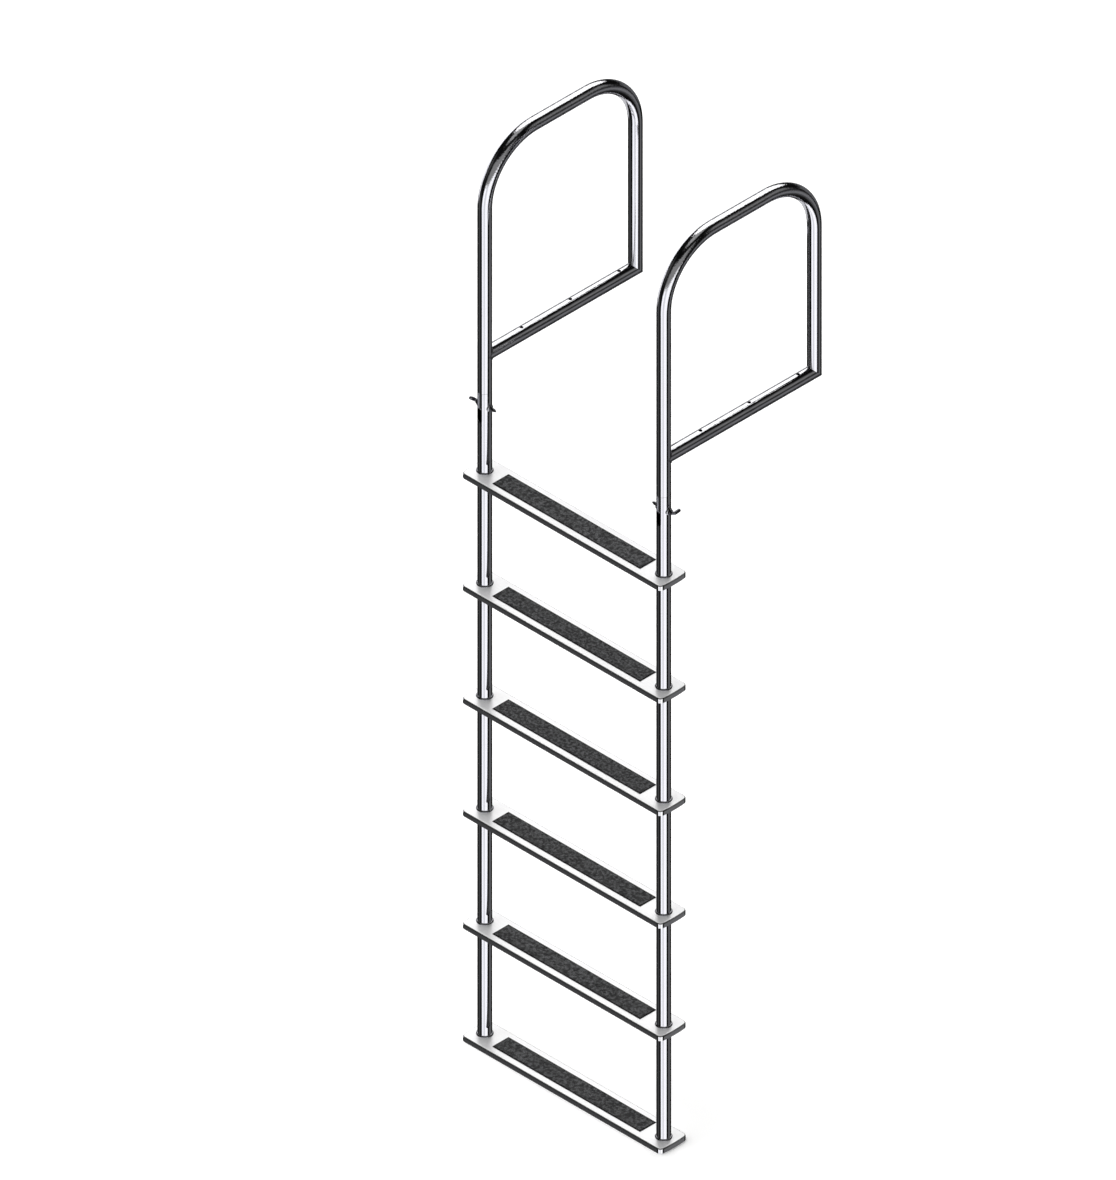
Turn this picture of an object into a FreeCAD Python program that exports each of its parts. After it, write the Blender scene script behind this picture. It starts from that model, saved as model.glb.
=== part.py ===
import FreeCAD, Part
import math
import os

os.makedirs("parts", exist_ok=True)
V = FreeCAD.Vector

# Boarding ladder for a dock, millimetres. +Z up, +Y from the water towards the dock, +X along the treads.
# Origin: centre of the dock bolt pattern, on the plane of the deck that the two base rails lie on.

# ---- driving dimensions ----
TUBE_OD = 31.75            # all tubing
TUBE_WALL = 1.65
LEG_SPACING = 536.0        # left tubes to right tubes, centre to centre
LEG_DEPTH = 451.0          # front leg to rear leg of each handrail
HOOP_HEIGHT = 526.0        # base rail to top of the hoop, centre to centre
BEND_RADIUS = 147.0        # centre line of both hoop bends
BOLT_SETBACK = 110.0       # front leg to the first bolt hole
BOLT_PITCH = 146.0
BOLT_COUNT = 3
BOLT_HOLE = 8.5
PIN_DROP = 131.5           # base rail down to the pivot pins
KNUCKLE_RADIUS = 40.0      # pivot to the parting line between handrail and ladder section
FOLD_LIMIT = 130.0         # degrees that the ladder section swings up
TONGUE_THICK = 12.0
TONGUE_PLUG = 45.0         # length of the tongue held inside the handrail leg
TREAD_COUNT = 6
TREAD_PITCH = 292.0
FIRST_TREAD_DROP = 300.0   # base rail down to the top of the first tread
TREAD_LENGTH = 602.0
TREAD_DEPTH = 82.5
TREAD_HEIGHT = 12.5        # over the turned-down skirt
TREAD_SHEET = 2.0
TREAD_CORNER = 12.0
TREAD_NOSE = 4.0           # outside radius between top and skirt
TREAD_END_BOW = 3.0        # how far each end curves out
STILE_RECESS = 2.0         # stile's open lower end above the last skirt's edge
PAD_END_GAP = 47.0         # stile centre to the end of the pad
PAD_DEPTH = 48.0           # centred on the tread
PAD_THICK = 2.0
WELD_LEG = 3.0
WELD_HOLLOW = 0.38         # share of the leg where a fillet's hollow face passes
RAIL_BEAD = 3.6            # diameter of the bead between base rail and front leg
BOSS_DIA = 17.0
BOSS_PROUD = 2.5
BOSS_CHAMFER = 1.5
PIN_DIA = 7.94
PIN_TIP_REACH = 17.0       # beyond the tube wall on the inner side
PIN_TIP_TAPER = 6.0
PIN_TIP_DIA = 4.0
COLLAR_DIA = 13.0
COLLAR_THICK = 3.0
HANDLE_OFFSET = 29.5       # pull handle from the leg's centre line
HANDLE_BEND = 6.0
HANDLE_LENGTH = 20.0
HANDLE_ANGLE = {"left": 140.0, "right": 6.0}   # from +Y, turned towards +Z
BALL_DIA = 3.2
BALL_INSET = 4.5           # ball's centre beyond the inner boss
SPRING_WIRE = 0.45
SPRING_TURNS = 4

# ---- clearances ----
KNUCKLE_GAP = 0.5          # parting line
TONGUE_FIT = 0.3           # radial, tongue in either tube
SLOT_CLEARANCE = 0.4       # each side of the tongue in the stile's slot
PIN_FIT = 0.05             # radial, running fit of the pins
TREAD_HOLE_FIT = 0.2       # radial, stile in the tread before welding
COLLAR_GAP = 0.3
BALL_FIT = 0.05
SPRING_FIT = 0.05

# ---- places that follow from them ----
R = TUBE_OD / 2
BORE = R - TUBE_WALL
FRONT_Y = -(BOLT_SETBACK + BOLT_PITCH * (BOLT_COUNT - 1) / 2)
REAR_Y = FRONT_Y + LEG_DEPTH
RAIL_Z = R
TOP_Z = RAIL_Z + HOOP_HEIGHT
PIN_Z = RAIL_Z - PIN_DROP
PARTING_Z = PIN_Z + KNUCKLE_RADIUS
TREAD_TOPS = [RAIL_Z - FIRST_TREAD_DROP - i * TREAD_PITCH for i in range(TREAD_COUNT)]
STILE_END_Z = TREAD_TOPS[-1] - TREAD_HEIGHT + STILE_RECESS
TONGUE_R = BORE - TONGUE_FIT
SIDES = {"left": -1, "right": 1}

X_AXIS, Y_AXIS, Z_AXIS = V(1, 0, 0), V(0, 1, 0), V(0, 0, 1)


def save(node, solids):
    """Write one node as a STEP file; several solids go in as a group."""
    shape = solids[0] if len(solids) == 1 else Part.makeCompound(solids)
    assert shape.isValid() and all(s.ShapeType == "Solid" for s in solids), node
    shape.exportStep("parts/%s.step" % node)


def rod(radius, start, end):
    """Solid cylinder between two points."""
    return Part.makeCylinder(radius, start.distanceToPoint(end), start, end - start)


def tube(start, end):
    return rod(R, start, end).cut(rod(BORE, start, end))


def bent_rod(radius, centre, start, axis, angle):
    """Solid quarter-bend: a disc at start, square to its path, swung about axis through centre."""
    tangent = axis.cross(start - centre)
    disc = Part.Face(Part.Wire(Part.makeCircle(radius, start, tangent)))
    return disc.revolve(centre, axis, angle)


def tube_bend(centre, start, angle):
    return bent_rod(R, centre, start, X_AXIS, angle).cut(bent_rod(BORE, centre, start, X_AXIS, angle))


def only_solid(shape):
    """The single solid of a boolean result, with split faces joined."""
    solids = shape.removeSplitter().Solids
    assert len(solids) == 1, len(solids)
    return solids[0]


def beyond_mitre(x, sign):
    """Large block on one side of the 45 degree plane through the rear lower corner."""
    size = 4 * TUBE_OD
    block = Part.makeBox(size, size, size, V(-size / 2, -size / 2, 0))
    block.Placement = FreeCAD.Placement(
        V(x, REAR_Y, RAIL_Z), FreeCAD.Rotation(Z_AXIS, V(0, sign, sign)))
    return block


def around_pivot(radius, x):
    """Cylinder about the pivot axis, wider than one tube."""
    return rod(radius, V(x - TUBE_OD, FRONT_Y, PIN_Z), V(x + TUBE_OD, FRONT_Y, PIN_Z))


def handrail(x):
    """One bent tube: mitred rear leg, two bends, top, front leg coped on the pivot's centre."""
    high = TOP_Z - BEND_RADIUS
    rear_leg = tube(V(x, REAR_Y, RAIL_Z - TUBE_OD), V(x, REAR_Y, high)).cut(beyond_mitre(x, -1))
    rear_bend = tube_bend(V(x, REAR_Y - BEND_RADIUS, high), V(x, REAR_Y, high), 90)
    top = tube(V(x, FRONT_Y + BEND_RADIUS, TOP_Z), V(x, REAR_Y - BEND_RADIUS, TOP_Z))
    front_bend = tube_bend(V(x, FRONT_Y + BEND_RADIUS, high), V(x, FRONT_Y + BEND_RADIUS, TOP_Z), 90)
    front_leg = tube(V(x, FRONT_Y, PIN_Z), V(x, FRONT_Y, high))
    front_leg = front_leg.cut(around_pivot(KNUCKLE_RADIUS + KNUCKLE_GAP, x))
    return only_solid(rear_leg.multiFuse([rear_bend, top, front_bend, front_leg]))


def base_rail(x):
    """Tube coped to the front leg, mitred to the rear leg, with the dock bolts' through holes."""
    rail = tube(V(x, FRONT_Y, RAIL_Z), V(x, REAR_Y + TUBE_OD, RAIL_Z))
    rail = rail.cut(rod(R, V(x, FRONT_Y, RAIL_Z - TUBE_OD), V(x, FRONT_Y, RAIL_Z + TUBE_OD)))
    rail = rail.cut(beyond_mitre(x, 1))
    for i in range(BOLT_COUNT):
        y = FRONT_Y + BOLT_SETBACK + i * BOLT_PITCH
        rail = rail.cut(rod(BOLT_HOLE / 2, V(x, y, RAIL_Z - TUBE_OD), V(x, y, RAIL_Z + TUBE_OD)))
    return only_solid(rail)


def rail_bead(x):
    """Weld along the saddle where the base rail meets the front leg: two halves of an ellipse."""
    leg = rod(R, V(x, FRONT_Y, RAIL_Z - 2 * TUBE_OD), V(x, FRONT_Y, RAIL_Z + 2 * TUBE_OD))
    rail = rod(R, V(x, FRONT_Y, RAIL_Z), V(x, FRONT_Y + 3 * TUBE_OD, RAIL_Z))
    beads = []
    for up in (1, -1):
        middle = V(x, FRONT_Y, RAIL_Z)
        crown = middle + V(0, R, up * R)
        ellipse = Part.Ellipse(crown, middle + V(R, 0, 0), middle)
        path = Part.Wire(Part.Arc(ellipse, -math.pi / 2, math.pi / 2).toShape())
        start = path.Edges[0].valueAt(path.Edges[0].FirstParameter)
        tangent = path.Edges[0].tangentAt(path.Edges[0].FirstParameter)
        ring = Part.Wire(Part.makeCircle(RAIL_BEAD / 2, start, tangent))
        bead = Part.Solid(path.makePipeShell([ring], True, True))
        beads += bead.cut(leg).cut(rail).Solids
    return beads


def tongue(x):
    """Turned plug held in the handrail leg, milled to a flat knuckle that hangs on the pivot pin."""
    plug_top = PARTING_Z + KNUCKLE_GAP + TONGUE_PLUG
    bar = rod(TONGUE_R, V(x, FRONT_Y, PIN_Z), V(x, FRONT_Y, plug_top))
    flat = Part.makeBox(TONGUE_THICK, 4 * R, 2 * KNUCKLE_RADIUS,
                        V(x - TONGUE_THICK / 2, FRONT_Y - 2 * R, PIN_Z - KNUCKLE_RADIUS))
    milled = bar.common(around_pivot(KNUCKLE_RADIUS + KNUCKLE_GAP, x)).common(flat)
    plug = bar.cut(around_pivot(KNUCKLE_RADIUS + KNUCKLE_GAP, x))
    heel = Part.makeSphere(TONGUE_R, V(x, FRONT_Y, PIN_Z)).common(flat)
    return only_solid(plug.multiFuse([milled, heel]).cut(around_pivot(PIN_DIA / 2 + PIN_FIT, x)))


def slot_depth():
    """How far below the pivot the tongue crosses the stile's front wall at the fold limit."""
    down = math.radians(180 - FOLD_LIMIT)
    return R / math.tan(down) + TONGUE_R / math.sin(down)


def stile(x):
    """Ladder side tube: rounded on the pivot's centre at the top, slotted in front for the tongue."""
    side = tube(V(x, FRONT_Y, STILE_END_Z), V(x, FRONT_Y, PARTING_Z))
    above = Part.makeBox(2 * TUBE_OD, 2 * TUBE_OD, KNUCKLE_RADIUS, V(x - TUBE_OD, FRONT_Y - TUBE_OD, PIN_Z))
    side = side.cut(above.cut(around_pivot(KNUCKLE_RADIUS, x)))
    half = TONGUE_THICK / 2 + SLOT_CLEARANCE
    foot_z = PIN_Z - slot_depth()
    slot = Part.makeBox(2 * half, 2 * R, PARTING_Z - foot_z + 1, V(x - half, FRONT_Y - 2 * R, foot_z))
    foot = rod(half, V(x, FRONT_Y - 2 * R, foot_z), V(x, FRONT_Y, foot_z))
    side = side.cut(slot).cut(foot)
    return only_solid(side.cut(around_pivot(PIN_DIA / 2 + PIN_FIT, x)))


def pivot_boss(x, outward):
    """Turned pad welded over the pin hole on one side of a stile."""
    face = R + BOSS_PROUD
    base = rod(BOSS_DIA / 2, V(x, FRONT_Y, PIN_Z), V(x + outward * (face - BOSS_CHAMFER), FRONT_Y, PIN_Z))
    rim = Part.makeCone(BOSS_DIA / 2, BOSS_DIA / 2 - BOSS_CHAMFER, BOSS_CHAMFER,
                        V(x + outward * (face - BOSS_CHAMFER), FRONT_Y, PIN_Z), V(outward, 0, 0))
    pad = base.fuse(rim)
    pad = pad.cut(rod(R, V(x, FRONT_Y, PIN_Z - TUBE_OD), V(x, FRONT_Y, PIN_Z + TUBE_OD)))
    return only_solid(pad.cut(around_pivot(PIN_DIA / 2 + PIN_FIT, x)))


def rounded_block(length, depth, height, bow, corner, nose, top_z):
    """Block with bowed ends, rounded vertical corners and a rounded top edge."""
    half_l, half_d = length / 2, depth / 2
    corners = [V(sx * (half_l - bow), FRONT_Y + sy * half_d, top_z - height)
               for sx, sy in ((-1, -1), (1, -1), (1, 1), (-1, 1))]
    right_end = Part.Arc(corners[1], V(half_l, FRONT_Y, top_z - height), corners[2]).toShape()
    left_end = Part.Arc(corners[3], V(-half_l, FRONT_Y, top_z - height), corners[0]).toShape()
    outline = Part.Wire([Part.makeLine(corners[0], corners[1]), right_end,
                         Part.makeLine(corners[2], corners[3]), left_end])
    block = Part.Face(outline).extrude(V(0, 0, height))
    upright = [e for e in block.Edges if abs(e.tangentAt(e.FirstParameter).z) > 0.99]
    block = block.makeFillet(corner, upright)
    rim = [e for e in block.Edges if abs(e.BoundBox.ZMin - top_z) < 1e-4]
    return block.makeFillet(nose, rim)


def tread(top_z):
    """Pressed pan: sheet with a skirt turned down all round, pierced for the two stiles."""
    outer = rounded_block(TREAD_LENGTH, TREAD_DEPTH, TREAD_HEIGHT, TREAD_END_BOW,
                          TREAD_CORNER, TREAD_NOSE, top_z)
    inner = rounded_block(TREAD_LENGTH - 2 * TREAD_SHEET, TREAD_DEPTH - 2 * TREAD_SHEET,
                          TREAD_HEIGHT, TREAD_END_BOW, TREAD_CORNER - TREAD_SHEET,
                          TREAD_NOSE - TREAD_SHEET, top_z - TREAD_SHEET)
    pan = outer.cut(inner)
    for side in SIDES.values():
        x = side * LEG_SPACING / 2
        pan = pan.cut(rod(R + TREAD_HOLE_FIT, V(x, FRONT_Y, top_z - TREAD_HEIGHT), V(x, FRONT_Y, top_z + 1)))
    return only_solid(pan)


def tread_pad(top_z):
    length = LEG_SPACING - 2 * PAD_END_GAP
    return Part.makeBox(length, PAD_DEPTH, PAD_THICK, V(-length / 2, FRONT_Y - PAD_DEPTH / 2, top_z))


def ring_weld(x, z, up):
    """Hollow-faced fillet weld around a stile, on a sheet at height z."""
    root = V(x + R, FRONT_Y, z)
    toe = root + V(WELD_LEG, 0, 0)
    throat = root + V(WELD_HOLLOW * WELD_LEG, 0, up * WELD_HOLLOW * WELD_LEG)
    crown = root + V(0, 0, up * WELD_LEG)
    outline = Part.Wire([Part.makeLine(root, toe), Part.Arc(toe, throat, crown).toShape(),
                         Part.makeLine(crown, root)])
    return Part.Face(outline).revolve(V(x, FRONT_Y, z), Z_AXIS, 360)


def pin(x, outward, angle):
    """Pull pin: tapered tip, shank, collar, and a handle bent square at the outer end."""
    def at(s):
        return V(x + outward * s, FRONT_Y, PIN_Z)

    r = PIN_DIA / 2
    tip = -(R + PIN_TIP_REACH)
    collar = R + BOSS_PROUD + COLLAR_GAP
    elbow = HANDLE_OFFSET - HANDLE_BEND
    turn = math.radians(angle)
    along = V(0, math.cos(turn), math.sin(turn))
    nose = Part.makeCone(PIN_TIP_DIA / 2, r, PIN_TIP_TAPER, at(tip), V(outward, 0, 0))
    shank = rod(r, at(tip + PIN_TIP_TAPER), at(elbow))
    ring = rod(COLLAR_DIA / 2, at(collar), at(collar + COLLAR_THICK))
    centre = at(elbow) + along * HANDLE_BEND
    bend = bent_rod(r, centre, at(elbow), V(outward, 0, 0).cross(along), 90)
    grip_start = centre + V(outward * HANDLE_BEND, 0, 0)
    grip_end = at(HANDLE_OFFSET) + along * (HANDLE_LENGTH - r)
    grip = rod(r, grip_start, grip_end)
    body = nose.multiFuse([shank, ring, bend, grip, Part.makeSphere(r, grip_end)])
    return only_solid(body.cut(ball_hole(x, outward)))


def ball_place(x, outward):
    """Centre line of the detent ball's hole, at the pin's axis."""
    return V(x - outward * (R + BOSS_PROUD + BALL_INSET), FRONT_Y, PIN_Z)


def ball_hole(x, outward):
    """Blind hole, open at the top of the pin's tip, for the spring and the ball."""
    foot = ball_place(x, outward) - Z_AXIS * (PIN_DIA / 2 - 1.2)
    return rod(BALL_DIA / 2 + BALL_FIT, foot, foot + Z_AXIS * PIN_DIA)


def detent_ball(x, outward):
    """Ball at its pressed place, flush with the pin's surface."""
    return Part.makeSphere(BALL_DIA / 2, ball_place(x, outward) + Z_AXIS * (PIN_DIA - BALL_DIA) / 2)


def detent_spring(x, outward):
    """Compression spring under the ball, at its pressed length."""
    foot = -(PIN_DIA / 2 - 1.2)
    room = (PIN_DIA / 2 - BALL_DIA - SPRING_FIT) - foot
    radius = BALL_DIA / 2 - SPRING_WIRE / 2 - SPRING_FIT
    height = room - SPRING_WIRE
    helix = Part.Wire(Part.makeHelix(height / SPRING_TURNS, height, radius).Edges)
    edge = helix.Edges[0]
    section = Part.Wire(Part.makeCircle(SPRING_WIRE / 2, edge.valueAt(edge.FirstParameter),
                                        edge.tangentAt(edge.FirstParameter)))
    coil = Part.Solid(helix.makePipeShell([section], True, True))
    coil.translate(ball_place(x, outward) + Z_AXIS * (foot + SPRING_WIRE / 2))
    return coil


bosses, beads = [], []
for name, side in SIDES.items():
    x = side * LEG_SPACING / 2
    save(name + "_handrail", [handrail(x)])
    save(name + "_base_rail", [base_rail(x)])
    save(name + "_hinge_tongue", [tongue(x)])
    save(name + "_stile", [stile(x)])
    save(name + "_pull_pin", [pin(x, side, HANDLE_ANGLE[name])])
    save(name + "_detent_ball", [detent_ball(x, side)])
    save(name + "_detent_spring", [detent_spring(x, side)])
    bosses += [pivot_boss(x, 1), pivot_boss(x, -1)]
    beads += rail_bead(x)
save("pivot_bosses", bosses)
save("handrail_welds", beads)

for i, top in enumerate(TREAD_TOPS, 1):
    save("tread_%d" % i, [tread(top)])
    save("tread_pad_%d" % i, [tread_pad(top)])

stile_xs = [side * LEG_SPACING / 2 for side in SIDES.values()]
save("tread_top_welds", [ring_weld(x, top, 1) for top in TREAD_TOPS for x in stile_xs])
save("tread_under_welds", [ring_weld(x, top - TREAD_SHEET, -1) for top in TREAD_TOPS for x in stile_xs])
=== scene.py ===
import math

import bpy
import numpy as np
from mathutils import Matrix, Vector


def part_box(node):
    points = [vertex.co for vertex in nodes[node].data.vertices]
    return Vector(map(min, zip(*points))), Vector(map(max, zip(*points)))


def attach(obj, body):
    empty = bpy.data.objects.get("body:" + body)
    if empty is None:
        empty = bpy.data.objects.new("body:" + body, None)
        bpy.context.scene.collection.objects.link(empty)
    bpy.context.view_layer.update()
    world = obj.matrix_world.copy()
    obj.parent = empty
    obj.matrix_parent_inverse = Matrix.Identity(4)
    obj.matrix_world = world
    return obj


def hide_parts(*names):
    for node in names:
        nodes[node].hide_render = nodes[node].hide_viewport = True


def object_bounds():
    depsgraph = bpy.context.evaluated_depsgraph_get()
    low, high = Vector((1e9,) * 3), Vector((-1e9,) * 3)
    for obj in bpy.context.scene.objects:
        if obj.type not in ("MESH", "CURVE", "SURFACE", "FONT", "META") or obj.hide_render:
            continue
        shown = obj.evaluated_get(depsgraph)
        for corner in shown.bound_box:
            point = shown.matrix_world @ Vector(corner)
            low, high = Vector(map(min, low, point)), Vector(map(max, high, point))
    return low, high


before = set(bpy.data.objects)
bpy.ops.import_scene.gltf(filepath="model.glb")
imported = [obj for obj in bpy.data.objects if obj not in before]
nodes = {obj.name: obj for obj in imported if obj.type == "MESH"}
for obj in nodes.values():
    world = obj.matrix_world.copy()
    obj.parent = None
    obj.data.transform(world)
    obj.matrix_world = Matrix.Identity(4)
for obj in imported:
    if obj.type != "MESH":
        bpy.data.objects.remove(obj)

cad_low, cad_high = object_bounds()


# ---- Studio: camera, floor and soft light ----
# A steel dock ladder looked at from the water side, above and to the right, over a pale floor.
# Polished tube shows what stands round it: a round softbox behind, a white card in front and dark cloth
# at each side.

def turned_to(right, up, back):
    """Rotation whose columns are the directions to the right, up and back."""
    return Matrix((right, up, back)).transposed()


stile_low, stile_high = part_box("left_stile")
rail_low, rail_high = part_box("left_base_rail")
tube_radius = (rail_high.z - rail_low.z) / 2
front_y = (stile_low.y + stile_high.y) / 2
rail_axis_z = (rail_low.z + rail_high.z) / 2

view_right = Vector((1, 1, 0)).normalized()
view_up = Vector((-1, 1, 2)).normalized()
view_back = Vector((1, -1, 1)).normalized()
aim_left, aim_below = 0.0344, 0.3895
aim = Vector((0, front_y, rail_axis_z)) - aim_left * view_right - aim_below * view_up
camera_distance = 6.0
camera_data = bpy.data.cameras.new("camera")
camera_data.type = "ORTHO"
camera_data.ortho_scale = 2.499
camera_data.clip_end = 100
camera = bpy.data.objects.new("camera", camera_data)
camera.matrix_world = (Matrix.Translation(aim + camera_distance * view_back)
                       @ turned_to(view_right, view_up, view_back).to_4x4())
bpy.context.scene.collection.objects.link(camera)
bpy.context.scene.camera = camera
bpy.context.scene.view_settings.view_transform = "Standard"


def wire(tree, kind, inputs=(), **settings):
    """Add one shader node with its settings. Each input gets a value or another node's output."""
    made = tree.nodes.new("ShaderNode" + kind)
    for name, value in settings.items():
        setattr(made, name, value)
    for socket, value in dict(inputs).items():
        if isinstance(value, bpy.types.NodeSocket):
            tree.links.new(value, made.inputs[socket])
        else:
            made.inputs[socket].default_value = value
    return made


def maths(tree, operation, first, second=0.0):
    return wire(tree, "Math", {0: first, 1: second}, operation=operation).outputs[0]


def rise(tree, value, low, high):
    """0 below low, 1 above high and a smooth step between; with low above high it falls instead."""
    return wire(tree, "MapRange", {"Value": value, "From Min": low, "From Max": high},
                interpolation_type="SMOOTHSTEP").outputs[0]


def band(tree, value, low, low_full, high_full, high):
    """1 between the two middle limits, 0 outside the outer two."""
    return product(tree, rise(tree, value, low, low_full), rise(tree, value, high, high_full))


def product(tree, *factors):
    result = factors[0]
    for factor in factors[1:]:
        result = maths(tree, "MULTIPLY", result, factor)
    return result


def brightest(tree, *values):
    result = values[0]
    for value in values[1:]:
        result = maths(tree, "MAXIMUM", result, value)
    return result


def hang_studio(tree):
    """Light from every direction. Turn is the angle round from the front corner, in degrees. Height goes
    from -1 straight down to 1 straight up. Each thing hung has limits in those two and its own level."""
    softbox_level, roof_level, card_level, seam_dimming = 1.6, 0.35, 1.3, 0.44
    left_cove_level, right_cove_level, front_cloth_level, gap_level = 1.1, 0.12, 0.24, 0.004
    cloth_level, fold_depth, fold_height, fold_rate = 0.105, 0.085, 0.32, 8.2
    softbox_middle = Vector((-0.42, 0.55, 0.72)).normalized()
    roof_tint, floor_tint = (1, 0.995, 0.985, 1), (0.96, 0.963, 1, 1)

    tree.nodes.clear()
    direction = wire(tree, "TexCoord").outputs["Generated"]
    x, y, height = wire(tree, "SeparateXYZ", {0: direction}).outputs
    side = maths(tree, "ADD", x, y)
    front = maths(tree, "SUBTRACT", x, y)
    turn = maths(tree, "MULTIPLY", maths(tree, "ARCTAN2", side, front), math.degrees(1))
    around = maths(tree, "ABSOLUTE", turn)

    towards_softbox = wire(tree, "VectorMath", {0: direction, 1: softbox_middle},
                           operation="DOT_PRODUCT").outputs["Value"]
    softbox_face = product(tree, rise(tree, towards_softbox, 0.855, 0.885), softbox_level)
    roof = product(tree, rise(tree, height, 0.9, 0.98), roof_level)
    seam = product(tree, band(tree, turn, -27, -15, -3, 9), seam_dimming)
    card = product(tree, rise(tree, around, 47, 41), rise(tree, height, 0.2, -0.06),
                   maths(tree, "SUBTRACT", card_level, seam))
    cove_height = brightest(tree, band(tree, height, -0.51, -0.42, -0.05, 0.04),
                            product(tree, rise(tree, height, -0.63, -0.7), 0.6))
    right_cove = product(tree, band(tree, turn, 118, 126, 166, 172), cove_height, right_cove_level)
    left_cove = product(tree, band(tree, turn, -177, -168, -120, -112), cove_height, left_cove_level)
    above_fold = maths(tree, "SUBTRACT", height, fold_height)
    fold_wave = maths(tree, "COSINE", product(tree, above_fold, fold_rate))
    folds = maths(tree, "ADD", product(tree, fold_wave, fold_depth), cloth_level)
    cloth = product(tree, folds, band(tree, around, 69, 79, 102, 116),
                    band(tree, height, -0.98, -0.7, 0.58, 0.7), rise(tree, side, -2.6, 0.7))
    front_cloth = product(tree, front_cloth_level, rise(tree, around, 58, 34),
                          band(tree, height, -0.02, 0.12, 0.6, 0.72))
    level = brightest(tree, softbox_face, roof, card, right_cove, left_cove, cloth, front_cloth,
                      gap_level)

    tint = wire(tree, "Mix", {"Factor": rise(tree, height, 0.1, -0.1), 6: roof_tint, 7: floor_tint},
                data_type="RGBA").outputs[2]
    studio = wire(tree, "Background", {"Color": tint, "Strength": level}).outputs[0]
    backdrop = wire(tree, "Background", {"Color": (1, 1, 1, 1), "Strength": 1.0}).outputs[0]
    seen = wire(tree, "LightPath").outputs["Is Camera Ray"]
    both = wire(tree, "MixShader", {0: seen, 1: studio, 2: backdrop}).outputs[0]
    wire(tree, "OutputWorld", {"Surface": both})


world = bpy.data.worlds.new("studio")
world.use_nodes = True
bpy.context.scene.world = world
hang_studio(world.node_tree)

lamp_data = bpy.data.lights.new("overhead_lamp", "SUN")
lamp_data.energy = 3.0
lamp_data.angle = 1.2
lamp = bpy.data.objects.new("overhead_lamp", lamp_data)
lamp.rotation_euler = Vector((-0.5, -0.35, 1)).to_track_quat("Z", "Y").to_euler()
lamp.visible_glossy = False
bpy.context.scene.collection.objects.link(lamp)


def new_material(name):
    """A material with its node tree and its Principled shader."""
    material = bpy.data.materials.new(name)
    material.use_nodes = True
    return material, material.node_tree, material.node_tree.nodes["Principled BSDF"]


floor_reach = 40.0
floor_z = cad_low.z - 0.001
floor_mesh = bpy.data.meshes.new("floor")
floor_mesh.from_pydata([(-floor_reach, -floor_reach, floor_z), (floor_reach, -floor_reach, floor_z),
                        (floor_reach, floor_reach, floor_z), (-floor_reach, floor_reach, floor_z)],
                       [], [(0, 1, 2, 3)])
floor = bpy.data.objects.new("floor", floor_mesh)
floor.visible_glossy = False
floor_paint, tree, shader = new_material("floor_paint")
shader.inputs["Base Color"].default_value = (0.9, 0.9, 0.9, 1)
shader.inputs["Roughness"].default_value = 0.9
shader.inputs["Specular IOR Level"].default_value = 0.0
shader.inputs["Emission Color"].default_value = (1, 1, 1, 1)
shader.inputs["Emission Strength"].default_value = 0.22
floor_mesh.materials.append(floor_paint)
bpy.context.scene.collection.objects.link(floor)


# ---- Handrails: one bent tube a side, from hinge to hoop to the back of the deck rail ----
# Mirror-polished stainless tube, 1 1/4 inch, bent cold over a former, so the bends are faintly pebbled.
# The buffing wheel leaves soft smears that only show as a change of gloss.

def buffed_group():
    """Buffing marks: wide smears change the gloss, and fine grain shades the metal and feeds a bump."""
    group = bpy.data.node_groups.new("buffed_metal", "ShaderNodeTree")
    sockets = group.interface
    sockets.new_socket("Vector", in_out="INPUT", socket_type="NodeSocketVector")
    sockets.new_socket("Metal", in_out="INPUT", socket_type="NodeSocketColor")
    for name in ("Smear Size", "Grain Size", "Roughness", "Smear", "Shade"):
        sockets.new_socket(name, in_out="INPUT", socket_type="NodeSocketFloat")
    sockets.new_socket("Color", in_out="OUTPUT", socket_type="NodeSocketColor")
    for name in ("Roughness", "Grain"):
        sockets.new_socket(name, in_out="OUTPUT", socket_type="NodeSocketFloat")
    given = group.nodes.new("NodeGroupInput").outputs
    smear_scale = maths(group, "DIVIDE", 1.0, given["Smear Size"])
    smear = wire(group, "TexNoise", {"Vector": given["Vector"], "Detail": 3.0,
                                     "Scale": smear_scale}).outputs[0]
    grain_scale = maths(group, "DIVIDE", 1.0, given["Grain Size"])
    grain = wire(group, "TexNoise", {"Vector": given["Vector"], "Detail": 2.0, "Roughness": 0.65,
                                     "Scale": grain_scale}).outputs[0]
    gloss = maths(group, "ADD", given["Roughness"],
                  product(group, given["Smear"], rise(group, smear, 0.42, 0.68)))
    shade = maths(group, "SUBTRACT", 1.0, product(group, given["Shade"], rise(group, grain, 0.62, 0.38)))
    color = wire(group, "VectorMath", {0: given["Metal"], "Scale": shade}, operation="SCALE").outputs[0]
    taken = group.nodes.new("NodeGroupOutput").inputs
    group.links.new(color, taken["Color"])
    group.links.new(gloss, taken["Roughness"])
    group.links.new(grain, taken["Grain"])
    return group


buffed_metal = buffed_group()


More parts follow.
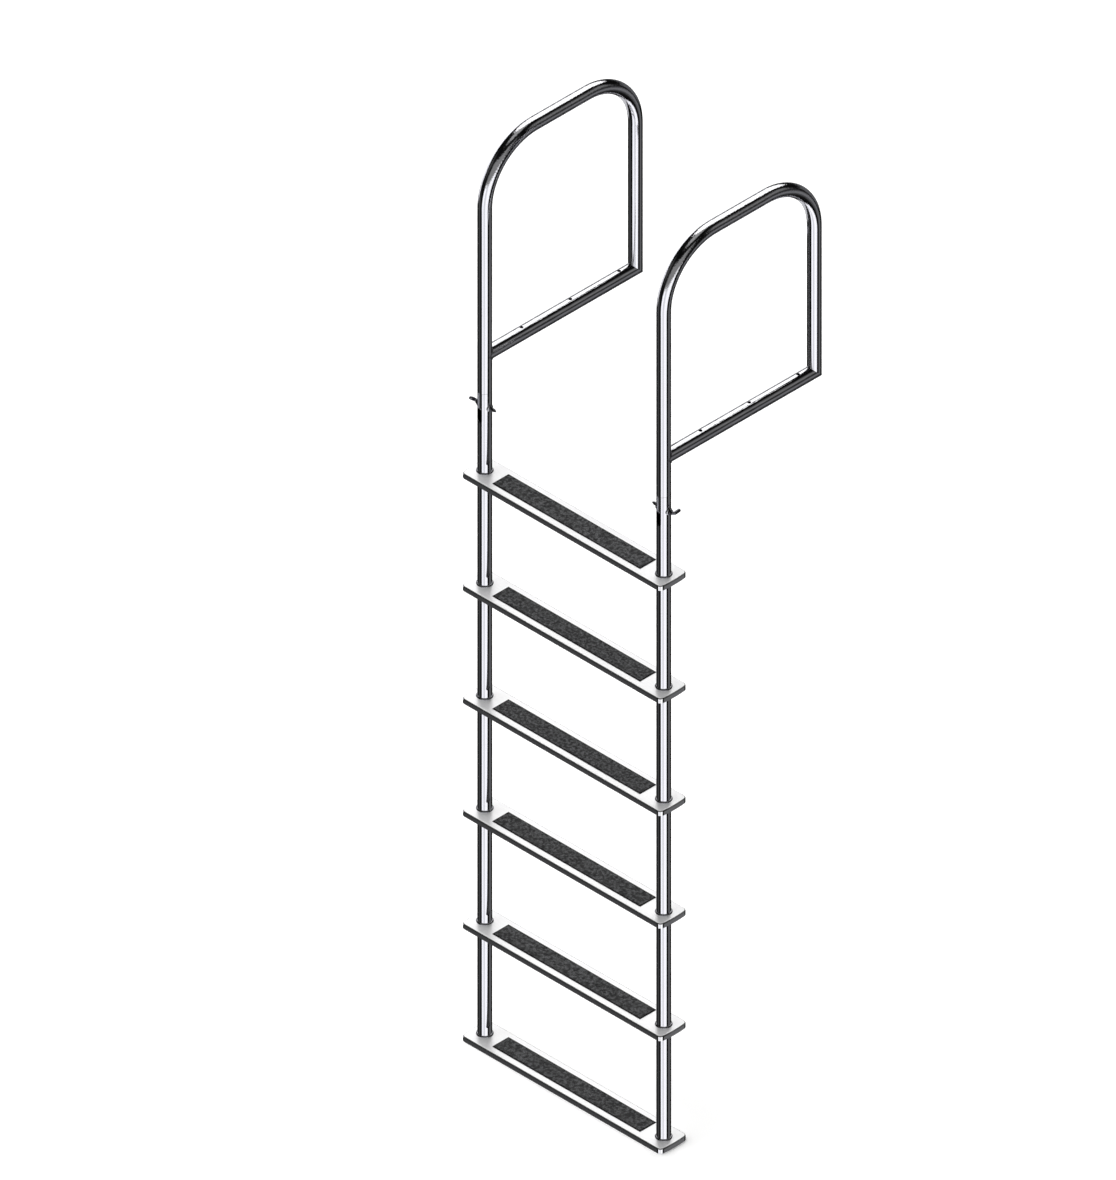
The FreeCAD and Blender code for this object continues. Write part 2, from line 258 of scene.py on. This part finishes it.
def steel(name, metal, stretch=(1, 1, 1), smear_size=0.04, grain_size=0.0015,
          roughness=0.06, smear=0.05, shade=0.08, depth=0.0):
    """A stainless finish. Stretch below 1 draws the grain out along that axis, as a belt does.
    Sizes and the bump's depth are in metres."""
    material, tree, shader = new_material(name)
    place = wire(tree, "TexCoord").outputs["Object"]
    drawn = wire(tree, "Mapping", {"Vector": place, "Scale": stretch}).outputs[0]
    marks = wire(tree, "Group", {}, node_tree=buffed_metal)
    tree.links.new(drawn, marks.inputs["Vector"])
    for socket, value in (("Metal", (*metal, 1)), ("Smear Size", smear_size), ("Grain Size", grain_size),
                          ("Roughness", roughness), ("Smear", smear), ("Shade", shade)):
        marks.inputs[socket].default_value = value
    tree.links.new(marks.outputs["Color"], shader.inputs["Base Color"])
    tree.links.new(marks.outputs["Roughness"], shader.inputs["Roughness"])
    shader.inputs["Metallic"].default_value = 1.0
    if depth:
        bump = wire(tree, "Bump", {"Height": marks.outputs["Grain"], "Distance": depth}).outputs[0]
        tree.links.new(bump, shader.inputs["Normal"])
    return material


def dress(material, *names):
    """Give CAD nodes a material in their own slots."""
    for name in names:
        nodes[name].material_slots[0].material = material


rail_steel = (0.8, 0.8, 0.83)
bend_height, bend_fade, pebble_depth, pebbles_a_metre = 0.16, 0.1, 0.0003, 300.0
bend_start_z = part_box("left_handrail")[1].z - bend_height
handrail_polish = steel("handrail_polish", rail_steel, smear_size=0.03, smear=0.04, shade=0.05)
tree = handrail_polish.node_tree
place = wire(tree, "TexCoord").outputs["Object"]
place_z = wire(tree, "SeparateXYZ", {0: place}).outputs[2]
pebbles = wire(tree, "TexNoise", {"Vector": place, "Scale": pebbles_a_metre, "Detail": 2.0}).outputs[0]
on_the_bends = rise(tree, place_z, bend_start_z, bend_start_z + bend_fade)
pebble_bump = wire(tree, "Bump", {"Height": product(tree, pebbles, on_the_bends),
                                  "Distance": pebble_depth}).outputs[0]
tree.links.new(pebble_bump, tree.nodes["Principled BSDF"].inputs["Normal"])
dress(handrail_polish, "left_handrail", "right_handrail")


# ---- Base rails: the drilled tubes that lie on the deck ----
# The same tube with a belt finish along its length, mitred to the rear leg and coped to the front one.
# Three plain holes go right through each rail for the dock bolts.

base_rail_finish = steel("base_rail_finish", rail_steel, stretch=(1, 0.22, 1), smear_size=0.03,
                         grain_size=0.008, roughness=0.05, smear=0.04, shade=0.14, depth=0.0003)
dress(base_rail_finish, "left_base_rail", "right_base_rail")


# ---- Weld beads on the handrails ----
# Each handrail has a bead round its rear mitre and one where the base rail meets the front leg.
# They are laid by hand with a filler rod and pickled clean, so they are duller than the tube.

weld_metal = (0.56, 0.56, 0.59)
weld_finish = steel("weld_finish", weld_metal, smear_size=0.006, grain_size=0.0012,
                    roughness=0.06, smear=0.08, shade=0.5, depth=0.0004)
dress(weld_finish, "handrail_welds")


# ---- Hinge tongues: the flat-sided plugs that the ladder section folds on ----
# Turned from solid bar, pressed and welded into the foot of each handrail leg.
# The pin's hole goes through the flats.

turned_finish = steel("turned_finish", (0.6, 0.6, 0.62), stretch=(1, 1, 0.15), smear_size=0.01,
                      grain_size=0.0008, roughness=0.1, smear=0.06, shade=0.2, depth=0.0001)
dress(turned_finish, "left_hinge_tongue", "right_hinge_tongue")


# ---- Stiles: the two straight tubes of the ladder section ----
# Straight mirror-polished tube, slotted at the top for the tongue.
# The foot is open, so that the tube drains.

stile_polish = steel("stile_polish", rail_steel, smear_size=0.035, smear=0.04, shade=0.05)
dress(stile_polish, "left_stile", "right_stile")


# ---- Pivot bosses: the thick washers that carry the pins ----
# Turned rings let into the stile's wall on both sides and welded.
# They give the pin more to bear on than thin tube.

dress(turned_finish, "pivot_bosses")


# ---- Treads: pressed pans with turned-down skirts ----
# Two-millimetre sheet, pressed and holed for both stiles.
# The flat is satin and the skirt is polished.

tread_finish = steel("tread_finish", (0.86, 0.86, 0.87), stretch=(0.12, 1, 1), smear_size=0.03,
                     grain_size=0.0014, roughness=0.07, smear=0.04, shade=0.05)
satin_roughness, satin_haze = 0.28, 0.5
tree = tread_finish.node_tree
shader = tree.nodes["Principled BSDF"]
upward = wire(tree, "SeparateXYZ", {0: wire(tree, "TexCoord").outputs["Normal"]}).outputs[2]
satin = rise(tree, maths(tree, "ABSOLUTE", upward), 0.75, 0.97)
polish = shader.inputs["Roughness"].links[0].from_socket
tread_gloss = maths(tree, "ADD", polish, product(tree, satin, satin_roughness))
tree.links.new(tread_gloss, shader.inputs["Roughness"])
tree.links.new(maths(tree, "SUBTRACT", 1.0, product(tree, satin, satin_haze)), shader.inputs["Metallic"])
tread_names = sorted(name for name in nodes if name.startswith("tread_") and name[6:].isdigit())
dress(tread_finish, *tread_names)
for name in tread_names:
    nodes[name].visible_glossy = False    # the tubes mirror the studio alone


# ---- Tread welds: a rippled ring round each stile, above and below every tread ----
# The welder steps the torch round the tube and each step freezes as a small crescent.
# Twelve rings make the upper piece and twelve the lower one.

def smooth_mesh(name, points, faces):
    """A mesh object at the origin, shaded smooth."""
    mesh = bpy.data.meshes.new(name)
    mesh.from_pydata(points.tolist(), [], faces.tolist() if isinstance(faces, np.ndarray) else faces)
    mesh.shade_smooth()
    piece = bpy.data.objects.new(name, mesh)
    bpy.context.scene.collection.objects.link(piece)
    return piece


def weld_ring(centre, tube, leg, facing, start):
    """Bead swept round a tube. Across it, the radius past the tube is the reach times cosine to a power
    and the height is the reach times sine to the same power. Each crescent adds a rounded ripple to both.
    The reach is the leg, which swells and thins slowly round the ring. Two hidden points in the tube's wall
    close the section."""
    steps_round, steps_across = 168, 9
    crescents, ripple, bulge, lean = 30, 0.00026, 1.35, 1.3
    slow_swell, quick_swell = 0.05, 0.03
    into_tube, into_plate = 0.0004, 0.0002
    around = np.linspace(0, 2 * np.pi, steps_round, endpoint=False)[:, None]
    across = np.linspace(0, np.pi / 2, steps_across)[None, :]
    swell = 1 + slow_swell * np.sin(3 * around + start) + quick_swell * np.sin(7 * around + 2 * start)
    bow = np.sin(2 * across)
    crest = np.abs(np.cos((crescents * around + start - lean * bow) / 2)) * bow
    reach = leg * swell
    radial = tube + reach * np.cos(across) ** bulge + ripple * crest
    height = reach * np.sin(across) ** bulge + ripple * crest
    inner = np.full_like(around, tube - into_tube)
    radial = np.hstack([radial, inner, inner])
    height = np.hstack([height, leg * np.ones_like(around), np.full_like(around, -into_plate)])
    points = np.stack([centre.x + radial * np.cos(around), centre.y + radial * np.sin(around),
                       centre.z + facing * height], axis=-1)
    count = radial.shape[1]
    i, j = np.meshgrid(np.arange(steps_round), np.arange(count), indexing="ij")
    i_next, j_next = (i + 1) % steps_round, (j + 1) % count
    here, ahead = i * count, i_next * count
    faces = np.stack([here + j, ahead + j, ahead + j_next, here + j_next], axis=-1)
    if facing < 0:
        faces = faces[..., ::-1]
    return points.reshape(-1, 3), faces.reshape(-1, 4)


tread_sheet = 0.002
start_step = 1.7
stile_offset = abs(stile_low.x + stile_high.x) / 2
weld_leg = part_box("tread_top_welds")[1].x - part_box("right_stile")[1].x
for piece_name, facing in (("tread_top_welds", 1), ("tread_under_welds", -1)):
    points, faces, used = [], [], 0
    for number, name in enumerate(tread_names):
        tread_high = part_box(name)[1]
        plate_z = tread_high.z if facing > 0 else tread_high.z - tread_sheet
        for side in (-1, 1):
            ring_centre = Vector((side * stile_offset, front_y, plate_z))
            ring_points, ring_faces = weld_ring(ring_centre, tube_radius, weld_leg, facing,
                                                start_step * number + side)
            points.append(ring_points)
            faces.append(ring_faces + used)
            used += len(ring_points)
    rings = smooth_mesh("rippled_" + piece_name, np.vstack(points), np.vstack(faces))
    rings.data.materials.append(weld_finish)
    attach(rings, "ladder_section")
    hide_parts(piece_name)


# ---- Grip pads: dark anti-slip strips bonded to the treads ----
# Rubber strip with hard grit rolled into its face and a plain pressed border.
# Each strip is cut square at the corners.

def grit_height(x, y, pitch, seed):
    """Smooth random relief from 0 to 1: random heights on a square lattice, joined by smooth steps."""
    random = np.random.default_rng(seed)
    lattice = random.random((int(x.max() / pitch) + 3, int(y.max() / pitch) + 3))
    i, j = np.floor(x / pitch).astype(int), np.floor(y / pitch).astype(int)
    u, v = x / pitch - i, y / pitch - j
    u, v = u * u * (3 - 2 * u), v * v * (3 - 2 * v)
    return ((lattice[i, j] * (1 - u) + lattice[i + 1, j] * u) * (1 - v)
            + (lattice[i, j + 1] * (1 - u) + lattice[i + 1, j + 1] * u) * v)


def grip_pad(name, low, high, seed):
    """Closed strip. Its top is a fine grid, lifted by grit of two sizes inside a plain border that slopes
    to the edge: height is thickness less grit, plus grit times the grains' 0 to 1, less the edge's drop.
    The outermost row of the grid is the foot of the walls, and faces between its long sides close the
    underside. The point attribute inset holds each point's distance from the edge, in metres."""
    spacing, border, slope, grit, edge_drop = 0.0009, 0.0016, 0.0006, 0.00038, 0.0005
    coarse_grit, fine_grit, coarse_share, fine_seed = 0.0018, 0.0011, 0.65, seed + 50
    length, width, thickness = high - low
    columns, rows = round(length / spacing), round(width / spacing)
    across = np.linspace(0, length, columns)
    deep = np.linspace(0, width, rows)
    across = np.concatenate([across[:1], across, across[-1:]])
    deep = np.concatenate([deep[:1], deep, deep[-1:]])
    x, y = np.meshgrid(across, deep, indexing="ij")
    inset = np.minimum(np.minimum(x, length - x), np.minimum(y, width - y))
    grains = (coarse_share * grit_height(x, y, coarse_grit, seed)
              + (1 - coarse_share) * grit_height(x, y, fine_grit, fine_seed))
    inside = np.clip((inset - border) / slope, 0, 1)
    z = thickness - grit + grit * grains * inside - edge_drop * np.clip(1 - inset / slope, 0, 1)
    z[[0, -1], :] = 0
    z[:, [0, -1]] = 0
    points = np.stack([low.x + x, low.y + y, low.z + z], axis=-1).reshape(-1, 3)
    wide, tall = len(across), len(deep)
    i, j = np.meshgrid(np.arange(wide - 1), np.arange(tall - 1), indexing="ij")
    first = i * tall + j
    faces = np.stack([first, first + tall, first + tall + 1, first + 1], axis=-1).reshape(-1, 4).tolist()
    i = np.arange(1, wide - 2)
    faces += np.stack([i * tall, i * tall + tall - 1, (i + 1) * tall + tall - 1, (i + 1) * tall],
                      axis=-1).tolist()
    left_edge, right_edge = list(range(tall)), list(range((wide - 1) * tall, wide * tall))
    faces.append(left_edge + [2 * tall - 1, tall])
    faces.append([(wide - 2) * tall, (wide - 1) * tall - 1] + right_edge[::-1])
    piece = smooth_mesh(name, points, faces)
    attribute = piece.data.attributes.new("inset", "FLOAT", "POINT")
    attribute.data.foreach_set("value", inset.astype(np.float32).ravel())
    return piece


def between(tree, low, high, mask):
    """Low where the mask is 0, high where it is 1."""
    return maths(tree, "ADD", low, product(tree, mask, high - low))


rubber_black = (0.042, 0.0425, 0.044)
grip_rubber, tree, shader = new_material("grip_rubber")
place = wire(tree, "TexCoord").outputs["Object"]
speck_noise = {"Vector": place, "Scale": 330.0, "Detail": 4.0, "Roughness": 0.8}
speck = wire(tree, "TexNoise", speck_noise).outputs[0]
mottle = wire(tree, "TexNoise", {"Vector": place, "Scale": 150.0, "Detail": 1.0}).outputs[0]
scuff = wire(tree, "TexNoise", {"Vector": place, "Scale": 28.0, "Detail": 3.0}).outputs[0]
edge_distance = wire(tree, "Attribute", attribute_name="inset").outputs["Fac"]
tone = product(tree, between(tree, 0.4, 1.5, rise(tree, speck, 0.38, 0.62)),
               between(tree, 0.38, 1.83, rise(tree, mottle, 0.33, 0.67)),
               between(tree, 0.88, 1.12, rise(tree, scuff, 0.35, 0.65)),
               between(tree, 0.15, 1.0, rise(tree, edge_distance, 0.0012, 0.004)))
rubber = wire(tree, "VectorMath", {0: rubber_black, "Scale": tone}, operation="SCALE").outputs[0]
tree.links.new(rubber, shader.inputs["Base Color"])
dull = between(tree, 0.62, 0.82, rise(tree, scuff, 0.3, 0.7))
tree.links.new(dull, shader.inputs["Roughness"])
pad_bump = wire(tree, "Bump", {"Height": speck, "Distance": 0.0004}).outputs[0]
tree.links.new(pad_bump, shader.inputs["Normal"])
shader.inputs["Specular IOR Level"].default_value = 0.3

for number, name in enumerate(tread_names, start=1):
    pad_node = "tread_pad_%d" % number
    pad_low, pad_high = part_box(pad_node)
    pad = grip_pad("grip_pad_%d" % number, pad_low, pad_high, number)
    pad.data.materials.append(grip_rubber)
    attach(pad, "ladder_section")
    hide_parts(pad_node)


# ---- Pull pins: the quick-release pins that the section folds on ----
# Drawn stainless rod with a bent pull handle and a tapered tip.
# A collar stops each pin against the outer boss.

# The pins' steel is darkened to a near-black grey. This is painted shade that stands in for the dark
# reflections of the polished pins. The studio still gives them their white highlight.
pin_finish = steel("pin_finish", (0.27, 0.27, 0.29), stretch=(0.2, 1, 1), smear_size=0.008,
                   grain_size=0.0008, roughness=0.06, smear=0.06, shade=0.2)
dress(pin_finish, "left_pull_pin", "right_pull_pin")


# ---- Detents: the hard ball and the small spring that hold each pin home ----
# A bearing ball sits in a blind hole in the pin's tip, on a coil of spring wire.
# At rest it is shown pressed, flush with the pin.

ball_finish = steel("ball_finish", (0.75, 0.75, 0.77), smear_size=0.002, grain_size=0.0004,
                    roughness=0.04, smear=0.03, shade=0.04)
wire_finish = steel("wire_finish", (0.55, 0.55, 0.57), smear_size=0.002, grain_size=0.0004,
                    roughness=0.24, smear=0.08, shade=0.15)
dress(ball_finish, "left_detent_ball", "right_detent_ball")
dress(wire_finish, "left_detent_spring", "right_detent_spring")
